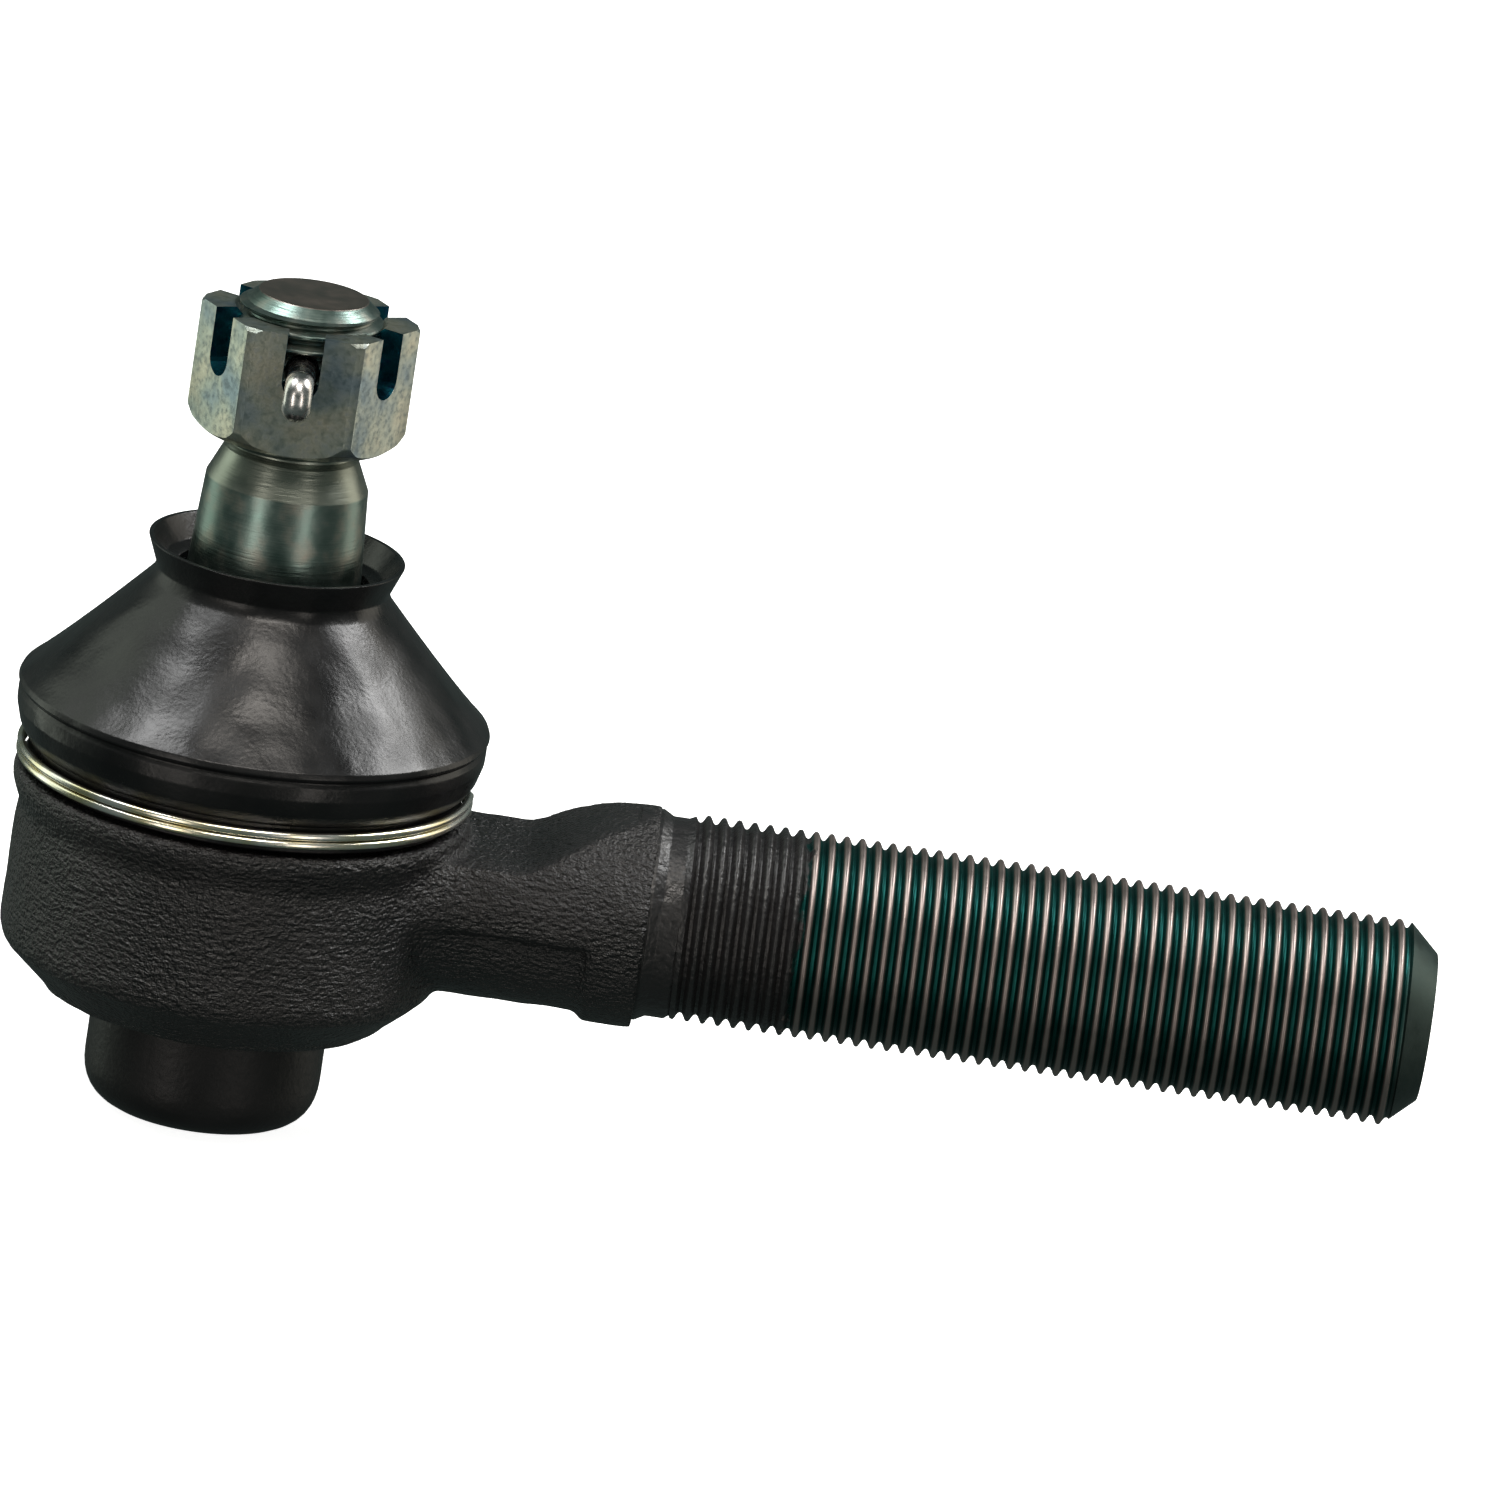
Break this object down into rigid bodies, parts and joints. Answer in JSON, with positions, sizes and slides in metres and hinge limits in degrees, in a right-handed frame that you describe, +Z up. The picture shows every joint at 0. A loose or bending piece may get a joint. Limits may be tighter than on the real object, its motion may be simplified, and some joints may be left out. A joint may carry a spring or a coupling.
{
  "type": "tie rod end",
  "caption": "Outer steering tie rod end: forged housing with right-hand threaded shank, swivelling tapered ball stud, rubber boot, castle nut and split pin.",
  "frame": {"origin": "centre of the end cover's flat bottom face, on the stud's axis at rest", "axes": "+Z up the stud at rest, +X along the threaded shank towards its end face, +Y completes the right-handed frame and the split pin lies along it"},
  "size_m": [0.1394, 0.0458, 0.0824],
  "materials": {
    "black_forging": "rough forged steel under satin black coating",
    "black_cover": "smooth drawn steel, satin black",
    "stud_steel": "fine turned steel, oiled",
    "zinc_plate": "clear zinc plate",
    "bright_pin": "bright drawn wire",
    "bright_wire": "bright drawn spring wire",
    "spring_steel": "spring steel",
    "acetal": "moulded acetal",
    "boot_rubber": "moulded chloroprene, satin",
    "seal_rubber": "nitrile"
  },
  "bodies": {
    "housing": {"housing": "black_forging", "upper_ball_race": "acetal", "pressure_cup": "acetal", "seat_spring": "spring_steel", "end_cover": "black_cover", "cover_seal": "seal_rubber", "dust_boot": "boot_rubber", "boot_clamp_ring": "bright_wire"},
    "race": {"lower_ball_race": "acetal"},
    "boot_neck": {"boot_neck_ring": "spring_steel"},
    "stud": {"ball_stud": "stud_steel", "castle_nut": "zinc_plate", "split_pin": "bright_pin"}
  },
  "joints": [
    {"name": "stud_tilt_y", "type": "hinge", "parent": "housing", "child": "race", "pos_m": [0, 0, 0.02633], "axis": [0, 1, 0], "range_deg": [-18, 18], "deforming": ["dust_boot"]},
    {"name": "stud_tilt_x", "type": "hinge", "parent": "race", "child": "boot_neck", "pos_m": [0, 0, 0.02633], "axis": [1, 0, 0], "range_deg": [-18, 18], "deforming": ["dust_boot"]},
    {"name": "stud_spin", "type": "hinge", "parent": "boot_neck", "child": "stud", "pos_m": [0, 0, 0.02633], "axis": [0, 0, 1], "continuous": true}
  ]
}
